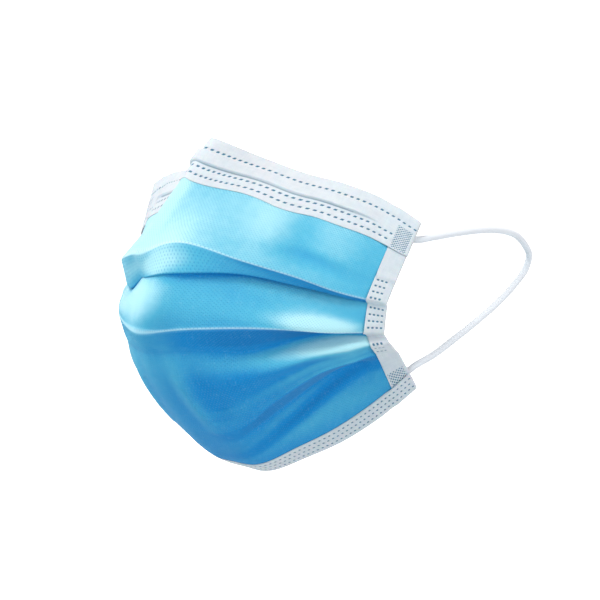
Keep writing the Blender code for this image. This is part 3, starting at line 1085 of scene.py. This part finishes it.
@dataclass(frozen=True)
class DotRow:
    """A row of pressed weld dots along a strip."""

    inwards: float
    phase: float
    pitch: float = 0.0025
    length: float = 0.00125
    width: float = 0.00090
    slant: float = 0.35
    soft: float = 0.00022

    def mask(self, along: Array, inwards: Array) -> Array:
        """1 on the dots and 0 between them, by the distance from the nearest dot's middle.

        Args:
            along: lengths along the strip.
            inwards: lengths in from its hem.

        Returns:
            The mask, of the two lengths' shared shape.
        """
        off = inwards - self.inwards
        turn = (along + self.slant * off) / self.pitch + self.phase
        beside = np.abs(turn - np.round(turn)) * self.pitch
        level = inside(self.length / 2 - beside, self.soft)
        return level * inside(self.width / 2 - np.abs(off), self.soft)


@dataclass(frozen=True)
class WeldPad:
    """A knurled patch that welds an ear loop's end to the side strip."""

    start: float
    end: float
    pitch: float = 0.0013
    margin: float = 0.0004
    soft: float = 0.0004
    dot_share: float = 0.36
    dot_soft: float = 0.2

    def mask(self, fall: Array, inwards: Array, width: float) -> Array:
        """1 on the small dots of a diagonal lattice inside the patch.

        Args:
            fall: lengths down the side hem.
            inwards: lengths in from it.
            width: the strip's width.

        Returns:
            The mask.
        """
        one, two = (fall + inwards) / self.pitch, (fall - inwards) / self.pitch
        apart = np.hypot(one - np.round(one), two - np.round(two))
        mask = inside(self.dot_share - apart, self.dot_soft)
        sides = (inwards - self.margin, width - self.margin - inwards)
        for depth in (fall - self.start, self.end - fall, *sides):
            mask = mask * ease(depth / self.soft)
        return mask


def lines_round(
    places: tuple[float, ...], reach: float, step: float, ends: tuple[float, float], gap: float
) -> Array:
    """Lengths at which a strip's lines lie: close together round each place, wider between.

    Args:
        places: where the lines are close.
        reach: how far to each side.
        step: the close lines' spacing.
        ends: the first and the last length.
        gap: the widest spacing elsewhere.

    Returns:
        The lengths, rising.
    """
    close = [np.arange(at - reach, at + reach + step / 2, step) for at in places]
    fixed = np.unique(np.round(np.concatenate([*close, ends]), 6))
    fixed = fixed[(fixed >= ends[0]) & (fixed <= ends[1])]
    parts = []
    for low, high in zip(fixed, fixed[1:]):
        parts.append(np.linspace(low, high, max(int(np.ceil((high - low) / gap)), 1) + 1)[:-1])
    return np.concatenate([*parts, fixed[-1:]])


@dataclass(frozen=True)
class HemBinding:
    """A strip folded over the top or the bottom hem, with rows of weld dots."""

    cloth: PleatedCloth
    hem: Hem
    width: float
    turned_in: float
    dots: tuple[DotRow, ...]
    column_step: float
    end_inset: float
    line_gap: float = 0.0009
    close_reach: float = 0.0006
    close_step: float = 0.0002
    inner_rows: int = 9
    wall: float = 0.00026
    stand_off: float = 0.00047
    press: float = 0.00016
    overhang: float = 0.0
    end_rise: float = 0.0005
    end_length: float = 0.0085
    rise_run_out: float = 0.004
    fullness: float = 0.00010
    full_from: float = 0.0016
    turn_bulge: float = 0.8
    cap_reach: float = 0.0009
    cap_columns: int = 3
    end_pad: WeldPad | None = None
    pad_width: float = 0.0078
    widening: tuple[float, ...] = (1.0, 1.0)
    channel: float = 0.0
    channel_low: float = 0.0105
    channel_high: float = 0.0062
    channel_ease: float = 0.0012
    channel_drop: float = 0.0007
    channel_reach: float = 0.063
    channel_run_out: float = 0.012
    # A painted shadow line in the weld colour, just under the nose wire's channel
    painted_channel_shadow: float = 0.55
    painted_shadow_below: float = 0.0005
    painted_shadow_width: float = 0.00025
    dense_rows: int = 60
    flat_top: float = 0.02

    def channel_lift(self, along: Array, inwards: Array) -> Array:
        """How far the strip stands up over the nose wire, eased at its sides and its ends.

        Args:
            along: lengths along the hem from its middle.
            inwards: lengths in from it.

        Returns:
            The height, of the two lengths' shared shape.
        """
        low = ease((self.channel_low + self.channel_drop - inwards) / self.channel_drop)
        high = ease((inwards - self.channel_high + self.channel_ease) / self.channel_ease)
        past = ease((np.abs(along) - self.channel_reach) / self.channel_run_out)
        return self.channel * low * high * (1 - past)

    def pressed(self, along: Array, free: Array, inwards: Array) -> Array:
        """1 where the outer flap is pressed, at its dots and its pads, and on a painted shadow line
        under the wire's channel.

        Args:
            along: lengths along the hem.
            free: lengths from its nearer end.
            inwards: lengths in from it, as one column.

        Returns:
            The mask, rows by columns.
        """
        mask = np.zeros((len(inwards), len(along)))
        for row in self.dots:
            clear = 1.0
            if self.end_pad and row.inwards > self.pad_width:
                clear = ease((free - self.pad_width) / self.end_pad.soft)
            mask = np.maximum(mask, row.mask(along[None], inwards) * clear)
        if self.end_pad:
            mask = np.maximum(mask, self.end_pad.mask(inwards, free[None], self.pad_width))
            # Painted shadow under the channel, in the weld colour
            painted_channel_shadow = bell((inwards - self.channel_low - self.painted_shadow_below) / self.painted_shadow_width)
            painted_channel_shadow = self.painted_channel_shadow * painted_channel_shadow * (np.abs(along) < self.channel_reach)[None]
            mask = np.maximum(mask, painted_channel_shadow)
        return mask

    def build(self, finish: bpy.types.Material) -> bpy.types.Object:
        """The strip: its outer flap, the turn over the hem and its inner flap.

        A flap's line lies a length in from the hem and stands off the cloth along its normals.
        Dots are pressed in, and the strip is a little full between its rows.

        Args:
            finish: the strip's material.

        Returns:
            The piece.
        """
        across, along = self.cloth.even_across(self.hem, self.end_inset, self.column_step)
        rows = tuple(row.inwards for row in self.dots)
        close = rows + ((self.channel_low, self.channel_high) if self.channel else ())
        ends = (-self.overhang, self.width)
        outer = lines_round(close, self.close_reach, self.close_step, ends, self.line_gap)
        inner = np.linspace(-self.overhang, self.turned_in, self.inner_rows)
        free = np.minimum(along - along[0], along[-1] - along)
        mask = self.pressed(along, free, outer[:, None])
        middle, normal = self.widened(across, outer)
        near = np.min(np.abs(outer[:, None] - np.array([*rows, outer[0], self.width])), axis=1)
        full = self.fullness * ease(near / self.full_from)[:, None]
        rise = self.end_rise * (1 - ease((free - self.end_length) / self.rise_run_out))
        stand = self.stand_off + rise
        lift = stand + self.channel_lift(along[None], outer[:, None]) + full - self.press * mask
        front = middle + normal * lift[..., None]
        under, away = self.cloth.hem_surface(self.hem, across, inner)
        back = under - away * stand[:, None]
        past, _ = self.cloth.hem_surface(self.hem, across, np.array([-0.2 * MM, 0.0]))
        over = unit(past[0] - past[1])
        angles = TURN_ANGLES[:, None, None]
        bend = normal[0] * np.cos(angles) + over * np.sin(angles) * self.turn_bulge
        turn = middle[0] + stand[:, None] * bend
        grid = np.concatenate([front[::-1], turn, back])
        core = np.concatenate([middle[::-1], np.repeat(middle[:1], len(turn), axis=0), under])
        grid = self.capped(grid, core)
        fall = run_length(grid[:, grid.shape[1] // 2])
        caps = self.cap_columns
        flat = flat_map(np.pad(along, caps, mode="edge"), self.flat_top - fall)
        weld = np.zeros(grid.shape[:2])
        weld[: len(outer), caps:-caps] = mask[::-1]
        name = f"{self.hem.value}_strip"
        made = sheet_object(name, grid, flat, self.wall, [finish], {"weld": weld})
        settle(made, "binding", f"{self.hem.value}_binding")
        return made

    def capped(self, grid: Array, core: Array) -> Array:
        """The strip closed at both ends by a quarter turn.

        Args:
            grid: the strip's points.
            core: the cloth's points under them.

        Returns:
            The points with the turn's columns at each end.
        """
        angles = np.linspace(0, np.pi / 2, self.cap_columns + 1)[1:, None]
        ends = []
        for at, beside in ((0, 2), (-1, -3)):
            way = unit(core[:, at] - core[:, beside])[:, None]
            lift = (grid[:, at] - core[:, at])[:, None]
            reach = self.cap_reach * np.sin(angles)
            ends.append(core[:, at][:, None] + way * reach + lift * np.cos(angles))
        return np.concatenate([ends[0][:, ::-1], grid, ends[1]], axis=1)

    def widened(self, across: Array, inwards: Array) -> tuple[Array, Array]:
        """The cloth under the outer flap, with lengths in from the hem times the widening.

        Args:
            across: places across, one for each column.
            inwards: lengths in from the hem, one for each row.

        Returns:
            The points and the normals, rows by columns.
        """
        wide = np.interp(across, np.linspace(-1, 1, len(self.widening)), self.widening)
        dense = np.linspace(0, inwards[-1] * wide.max(), self.dense_rows)
        at = inwards[:, None] * wide[None] / dense[1]
        first = np.clip(at.astype(int), 0, len(dense) - 2)
        share = (at - first)[..., None]
        column = np.arange(len(across))[None]
        mixed = []
        for field in self.cloth.hem_surface(self.hem, across, dense):
            mixed.append(field[first, column] * (1 - share) + field[first + 1, column] * share)
        return mixed[0], unit(mixed[1])


@dataclass(frozen=True)
class SideBinding:
    """A strip folded over the pleats' ends, stepped where each pleat lies under it.

    Dots holds the first length down, the rows and the columns of each plain stretch, and steps
    holds where the strip rises over a pleat and where it drops, by the panel count.
    """

    cloth: PleatedCloth
    side: Side
    width: float = 0.0078
    wall: float = 0.00026
    stand_off: float = 0.00047
    press: float = 0.00015
    step_height: float = 0.00055
    steps: tuple[tuple[float, float], ...] = ((0.70, 1.0), (3.1, 4.0), (5.1, 6.0))
    bump: tuple[float, float, float] = (0.8, 0.0245, 0.0012)
    outer_columns: int = 40
    inner_columns: int = 12
    turn_reach: float = 0.0006
    counts: tuple[int, ...] = (150, 6, 5, 48, 6, 46, 10, 76)
    loop_ends: float = 0.0009
    loop_places: tuple[float, float] = (0.10, 0.945)
    loop_spread: float = 0.008
    hidden_end: float = 0.0022
    lower_weld: WeldPad = WeldPad(0.0665, 0.0790)
    dots: tuple[tuple[float, int, int], ...] = ((0.0262, 4, 3), (0.0370, 4, 4), (0.0510, 3, 3))
    dot_fall: float = 0.00235
    dot_pitch: float = 0.0017
    dot_length: float = 0.0010
    dot_width: float = 0.0007
    dot_margin: float = 0.0012
    dot_free: float = 0.0007
    flat_top: float = 0.04

    def pressed(self, fall: Array, inwards: Array) -> Array:
        """1 on the weld dots of the plain stretches and on the lower weld pad.

        Args:
            fall: lengths down the side hem.
            inwards: lengths in from it.

        Returns:
            The mask, of the two lengths' shared shape.
        """
        mask = self.lower_weld.mask(fall, inwards, self.width)
        for first, count, columns in self.dots:
            across = inwards - self.dot_margin - self.dot_pitch * (4 - columns)
            shown = (across > -self.dot_margin / 2) * (inwards < self.width - self.dot_free)
            for number in range(count):
                down, sizes = first + number * self.dot_fall, (self.dot_length, self.dot_width)
                row = DotRow(down, 0.0, self.dot_pitch, *sizes, slant=0.0)
                mask = np.maximum(mask, row.mask(across, fall) * shown)
        return mask

    def build(self, finish: bpy.types.Material) -> bpy.types.Object:
        """The strip from corner to corner: outer flap, turn and inner flap.

        Its height above the cloth grows towards each outer fold and drops after it.

        Args:
            finish: the strip's material.

        Returns:
            The piece.
        """
        sign, label, count = self.side.value, self.side.name.lower(), self.outer_columns
        outer = np.linspace(self.width, 0.0, count)
        inner = np.linspace(0.0, self.width, self.inner_columns)
        across = sign * (1 - self.inset_shares(np.concatenate([outer, inner])))
        middle, down = self.cloth.rows(across, self.counts)
        ahead, _ = self.cloth.rows(across + SHARE_STEP, self.counts)
        behind, _ = self.cloth.rows(across - SHARE_STEP, self.counts)
        right = unit(ahead - behind)
        normal = self.evened(unit(np.cross(unit(np.gradient(middle, axis=0)), right)))
        fall = run_length(middle[:, count - 1])
        mask = self.pressed(fall[:, None], outer[None])
        lift = self.stand_off + self.step_height * self.raised(down, fall)
        front = middle[:, :count]
        front = front + normal[:, :count] * (lift[:, None] - self.press * mask)[..., None]
        welds = sum(bell((fall - at * fall[-1]) / self.loop_spread) for at in self.loop_places)
        sunk = self.stand_off + self.loop_ends * welds
        rear = middle[:, count:] - normal[:, count:] * sunk[:, None, None]
        turns = []
        for angle in TURN_ANGLES:
            height = np.where(angle < np.pi / 2, lift, sunk)[:, None] * np.cos(angle)
            way = sign * right[:, count - 1] * np.sin(angle) * self.turn_reach
            turns.append(middle[:, count - 1] + normal[:, count - 1] * height + way)
        grid = np.concatenate([front, np.stack(turns, axis=1), rear], axis=1)
        weld = np.pad(mask, ((0, 0), (0, grid.shape[1] - count)))
        flat = flat_map(np.concatenate([outer, np.zeros(len(turns)), -inner]), self.flat_top - fall)
        shown = (fall > self.hidden_end) & (fall < fall[-1] - self.hidden_end)
        grid, weld, flat = (field[shown, ::sign] for field in (grid, weld, flat))
        name = f"side_strip_{label}"
        made = sheet_object(name, grid, flat, self.wall, [finish], {"weld": weld})
        settle(made, "binding", f"side_binding_{label}")
        return made

    def raised(self, down: Array, fall: Array) -> Array:
        """The strip's steps over the pleats and its one bump, as shares of a step.

        Args:
            down: each row's place down.
            fall: each row's length down the side hem.

        Returns:
            The share at each row.
        """
        steps = sum(ease((down - low) / (high - low)) * (down <= high) for low, high in self.steps)
        steps = np.convolve(np.pad(steps, 2, mode="edge"), np.ones(5) / 5, mode="valid")
        height, place, width = self.bump
        return steps + height * bell((fall - place) / width)

    def inset_shares(self, inwards: Array) -> Array:
        """The share across that each length in from the side hem takes up."""
        ends, _ = self.cloth.rows(self.side.value * np.array([1 - SHARE_STEP, 1.0]), self.counts)
        return inwards * SHARE_STEP / np.median(np.linalg.norm(ends[:, 1] - ends[:, 0], axis=1))

    def evened(self, normal: Array) -> Array:
        """The normals averaged over nine rows, so that the strip bridges the tucks' creases."""
        padded = np.pad(normal, ((4, 4), (0, 0), (0, 0)), mode="edge")
        return unit(sum(padded[step : step + len(normal)] for step in range(9)))


@dataclass(frozen=True)
class EarLoop:
    """A round knitted elastic cord, welded behind the side strip at both ends."""

    side: Side
    route: tuple[tuple[float, float, float], ...]
    diameter: float = 0.0028
    step: float = 0.00012
    around: int = 20
    rib_pitch: float = 0.00062
    rib_depth: float = 0.04
    fine: int = 60
    tip_least: float = 0.0025
    path_every: int = 8

    def build(self, finish: bpy.types.Material) -> bpy.types.Object:
        """The cord as a tube of diagonal ribs along its route.

        At length a and angle t the radius is R (1 - d (1 - sqrt |sin(pi a / p + t)|)), rounded
        off at both tips, with the ring's own axes square to the path.

        Args:
            finish: the cord's material.

        Returns:
            The piece.
        """
        route = np.array(self.route)
        chord = run_length(route)
        fine = smooth_through(chord, route, np.linspace(0, chord[-1], self.fine * len(route)))
        length = run_length(fine)
        stops = np.linspace(0, length[-1], round(length[-1] / self.step) + 1)
        path = np.stack([np.interp(stops, length, fine[:, axis]) for axis in range(3)], axis=-1)
        along = unit(np.gradient(path, axis=0))
        aside = unit(np.cross(along, np.cross(np.array([1.0, 0.0, 0.0]), along)))
        third = np.cross(along, aside)
        angle = np.linspace(0, 2 * np.pi, self.around, endpoint=False)
        rib = np.sqrt(np.abs(np.sin(np.pi * stops[:, None] / self.rib_pitch + angle[None])))
        radius = self.diameter / 2
        tip = np.minimum(stops, stops[-1] - stops)
        close = np.sqrt(np.clip(1 - (1 - np.clip(tip / radius, 0, 1)) ** 2, self.tip_least, 1))
        size = radius * close[:, None] * (1 - self.rib_depth * (1 - rib))
        cosine, sine = np.cos(angle)[None, :, None], np.sin(angle)[None, :, None]
        ring = aside[:, None] * cosine + third[:, None] * sine
        made = self.tube(path[:, None] + ring * size[..., None], path, rib, stops, finish)
        settle(made, "cord", f"ear_loop_{self.side.name.lower()}")
        return made

    def tube(
        self, grid: Array, path: Array, rib: Array, stops: Array, finish: bpy.types.Material
    ) -> bpy.types.Object:
        """The closed tube's object, with a fan at each tip.

        Args:
            grid: rings by points.
            path: the middle of each ring.
            rib: height of the ribs, kept as an attribute.
            stops: lengths along the path.
            finish: the material.

        Returns:
            The object.
        """
        rings, around = grid.shape[:2]
        corner = np.arange(rings * around).reshape(rings, around)
        beside = np.roll(corner, -1, axis=1)
        faces = np.stack([corner[:-1], beside[:-1], beside[1:], corner[1:]], axis=-1)
        faces = faces.reshape(-1, 4).tolist()
        first, last = rings * around, rings * around + 1
        faces += [(first, b, a) for a, b in zip(corner[0].tolist(), beside[0].tolist())]
        faces += [(last, a, b) for a, b in zip(corner[-1].tolist(), beside[-1].tolist())]
        flat = flat_map(np.linspace(0, np.pi * self.diameter, around), stops).reshape(-1, 2)
        return mesh_object(
            f"ear_loop_cord_{self.side.name.lower()}",
            np.concatenate([grid.reshape(-1, 3), path[:1], path[-1:]]),
            faces,
            np.concatenate([flat, flat[:1], flat[-1:]]),
            {"rib": np.concatenate([rib.ravel(), [1.0, 1.0]])},
            [finish],
        )


RIGHT_ROUTE = (
    (0.0588, 0.0394, -0.0365),
    (0.0612, 0.0413, -0.0370),
    (0.0655, 0.0447, -0.0379),
    (0.0680, 0.0519, -0.0378),
    (0.0702, 0.0620, -0.0378),
    (0.0720, 0.0745, -0.0384),
    (0.0730, 0.0867, -0.0398),
    (0.0737, 0.0973, -0.0423),
    (0.0736, 0.1053, -0.0456),
    (0.0735, 0.1112, -0.0502),
    (0.0733, 0.1150, -0.0554),
    (0.0732, 0.1131, -0.0602),
    (0.0727, 0.1067, -0.0652),
    (0.0718, 0.0965, -0.0709),
    (0.0702, 0.0841, -0.0765),
    (0.0686, 0.0698, -0.0818),
    (0.0667, 0.0563, -0.0867),
    (0.0642, 0.0462, -0.0899),
    (0.0604, 0.0429, -0.0942),
    (0.0582, 0.0410, -0.0965),
)
LEFT_ROUTE = (
    (-0.0591, 0.0382, -0.0370),
    (-0.0615, 0.0396, -0.0379),
    (-0.0660, 0.0424, -0.0394),
    (-0.0686, 0.0496, -0.0386),
    (-0.0707, 0.0596, -0.0385),
    (-0.0725, 0.0726, -0.0389),
    (-0.0736, 0.0857, -0.0400),
    (-0.0742, 0.0974, -0.0422),
    (-0.0741, 0.1063, -0.0456),
    (-0.0740, 0.1124, -0.0504),
    (-0.0738, 0.1158, -0.0564),
    (-0.0736, 0.1133, -0.0618),
    (-0.0730, 0.1066, -0.0671),
    (-0.0721, 0.0962, -0.0728),
    (-0.0705, 0.0837, -0.0781),
    (-0.0689, 0.0697, -0.0831),
    (-0.0670, 0.0564, -0.0874),
    (-0.0644, 0.0464, -0.0898),
    (-0.0605, 0.0431, -0.0940),
    (-0.0583, 0.0413, -0.0960),
)


def placed(
    name: str, data: bpy.types.ID, place: Array, right: Array, back: Array
) -> bpy.types.Object:
    """A camera or a lamp.

    Args:
        name: its name.
        data: its settings.
        place: where it stands.
        right: the way to its right.
        back: the way against which it looks.

    Returns:
        The object.
    """
    turned = np.eye(4)
    turned[:3] = np.stack([right, np.cross(back, right), back, place], axis=-1)
    made = linked(name, data)
    made.matrix_world = Matrix(turned.tolist())
    return made


@dataclass(frozen=True)
class Lamp:
    """A square area light, placed to the camera's right, onwards from it and up."""

    name: str
    place: tuple[float, float, float]
    size: float
    power: float
    colour: Colour = (1.0, 1.0, 1.0)
    target: tuple[float, float, float] = (0.0, 0.0, -0.06)

    def build(self, axes: Array) -> None:
        """The light, turned to the mask.

        Args:
            axes: the camera's right, its way in and the way up.
        """
        data = bpy.data.lights.new(self.name, "AREA")
        data.shape, data.size = "SQUARE", self.size
        data.energy, data.color = self.power, self.colour
        place = np.array(self.place) @ axes
        back = unit(place - np.array(self.target))
        placed(self.name, data, place, unit(np.cross(UP, back)), back)


@dataclass(frozen=True)
class Studio:
    """The camera, the soft lights and the pale floor."""

    azimuth: float = 40.0
    elevation: float = 10.0
    distance: float = 0.9
    pixels_long: float = 2313.0
    frame_side: float = 600.0
    sensor: float = 36.0
    aim_right: float = 87.0
    aim_down: float = 160.0
    floor_height: float = -0.45
    floor_reach: float = 30.0
    floor_sides: int = 64
    room: Colour = (0.94, 0.97, 1.0)
    room_power: float = 0.56
    lamps: tuple[Lamp, ...] = (
        Lamp("key", (-0.55, -0.55, 1.25), 0.5, 20.0, (1.0, 0.99, 0.97)),
        Lamp("rim", (-1.3, 0.35, 0.35), 0.8, 5.0, (0.97, 0.99, 1.0)),
        Lamp("fill", (1.2, -0.6, 0.1), 0.9, 7.0, (0.98, 0.99, 1.0)),
        Lamp("bounce", (-0.6, -0.9, -0.7), 1.2, 8.0, (0.12, 0.74, 1.0)),
        Lamp("behind", (0.5, 1.1, 0.4), 1.0, 7.0),
    )

    def axes(self) -> tuple[Array, Array]:
        """The camera's axes, from its two angles.

        Returns:
            The way to its right and the way onwards from it.
        """
        turn, tip = np.radians(self.azimuth), np.radians(self.elevation)
        right = np.array([np.cos(turn), np.sin(turn), 0.0])
        return right, np.array([-right[1] * np.cos(tip), right[0] * np.cos(tip), -np.sin(tip)])

    def camera(self, right: Array, onwards: Array) -> None:
        """The camera, turned so that the top hem's middle comes where the photograph has it.

        Args:
            right: the way to its right.
            onwards: the way to the top hem's middle.
        """
        up = np.cross(right, onwards)
        aim = unit(onwards * self.pixels_long + right * self.aim_right - up * self.aim_down)
        data = bpy.data.cameras.new("camera")
        data.sensor_width = self.sensor
        far = np.sqrt(self.pixels_long**2 + self.aim_right**2 + self.aim_down**2)
        data.lens = self.sensor * far / self.frame_side
        level = unit(right - aim * np.dot(right, aim))
        made = placed("camera", data, -onwards * self.distance, level, -aim)
        bpy.context.scene.camera = made

    def floor(self) -> None:
        """A wide pale disc under the mask, seen as white."""
        angle = np.linspace(0, 2 * np.pi, self.floor_sides, endpoint=False)
        level = np.full(self.floor_sides, self.floor_height)
        rim = np.stack([np.cos(angle) * self.floor_reach, np.sin(angle) * self.floor_reach, level])
        mesh = bpy.data.meshes.new("floor")
        mesh.from_pydata(rim.T.tolist(), [], [tuple(range(self.floor_sides))])
        finish, wire, shader = Finish("pale_floor", (0.6, 0.6, 0.6), 0.9).start()
        seen = wire.add("LightPath").outputs["Is Camera Ray"]
        grey, white = (0.6, 0.6, 0.6), (1.0, 1.0, 1.0)
        wire.fill(shader, Base_Color=grey, Emission_Color=white, Emission_Strength=seen)
        mesh.materials.append(finish)
        linked("floor", mesh)

    def build(self) -> None:
        """Camera, floor, world and lamps."""
        right, onwards = self.axes()
        self.camera(right, onwards)
        self.floor()
        world = bpy.data.worlds.new("white_room")
        world.use_nodes = True
        sky = world.node_tree.nodes["Background"]
        Wiring(world.node_tree).fill(sky, Color=self.room, Strength=self.room_power)
        bpy.context.scene.world = world
        for lamp in self.lamps:
            lamp.build(np.array([right, onwards, UP]))
        view = bpy.context.scene.view_settings
        view.view_transform, view.look, view.exposure, view.gamma = "Standard", "None", 0.0, 1.0


# In both cloths, shade and deep are shaded copies of the colour and pale is a lit copy, used for
# painted light and shade
BLUE = SpunCloth(
    "blue_spun_cloth",
    colour=(0.095, 0.470, 0.660),
    roughness=0.80,
    shade=(0.001, 0.245, 0.580),
    pale=(0.48, 0.79, 0.85),
    deep=(0.0, 0.185, 0.480),
)
LINING = SpunCloth(
    "white_lining",
    colour=(0.80, 0.84, 0.86),
    roughness=0.85,
    shade=(0.70, 0.76, 0.80),
    pale=(0.88, 0.90, 0.92),
    deep=(0.62, 0.69, 0.74),
)
STRIP = WeldedStrip(
    "white_strip",
    colour=(0.665, 0.665, 0.690),
    roughness=0.75,
    shade=(0.56, 0.58, 0.62),
    weld=(0.010, 0.130, 0.230),
)
ELASTIC = KnittedCord("white_elastic", (0.80, 0.81, 0.84), 0.80, shade=(0.48, 0.50, 0.56))
WIRE = DrawnWire("drawn_wire", (0.60, 0.61, 0.62), 0.35, mark=(0.42, 0.43, 0.44))


def main() -> None:
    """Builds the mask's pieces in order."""
    logging.basicConfig(level=logging.INFO, format="%(name)s: %(message)s")
    Studio().build()
    web = FibreWeb().build()
    cord, white = ELASTIC.build(), STRIP.build(web)
    routes = {Side.LEFT: LEFT_ROUTE, Side.RIGHT: RIGHT_ROUTE}
    loops = [EarLoop(side, route).build(cord) for side, route in routes.items()]
    cloth = PleatedCloth()
    body = MaskBody(cloth).build([BLUE.build(web), LINING.build(web)])
    top = HemBinding(
        cloth,
        Hem.TOP,
        width=0.0190,
        turned_in=0.0100,
        dots=(DotRow(0.0045, 0.0), DotRow(0.0126, 0.3), DotRow(0.0159, 0.8)),
        column_step=0.00034,
        end_inset=0.0001,
        line_gap=0.00028,
        end_pad=WeldPad(0.0064, 0.0186),
        widening=(1.15, 1.15, 1.12, 1.08, 1.06, 1.05, 1.00, 0.87, 0.73),
        channel=0.00125,
    ).build(white)
    small = ((0.0003, 0.0), (0.0023, 0.5), (0.0043, 0.0))
    bottom = HemBinding(
        cloth,
        Hem.BOTTOM,
        width=0.0062,
        turned_in=0.0058,
        dots=tuple(DotRow(at, phase, 0.0021, 0.0009, 0.0006) for at, phase in small),
        column_step=0.00028,
        end_inset=0.0004,
        overhang=0.0012,
    ).build(white)
    sides = [SideBinding(cloth, side).build(white) for side in Side]
    wire = WIRE.build()
    for slot in bpy.data.objects["nose_wire"].material_slots:
        slot.material = wire
    LOG.info("%d loops, %d bindings and the nose wire", len(loops), 2 + len(sides))


if __name__ == "__main__":
    main()
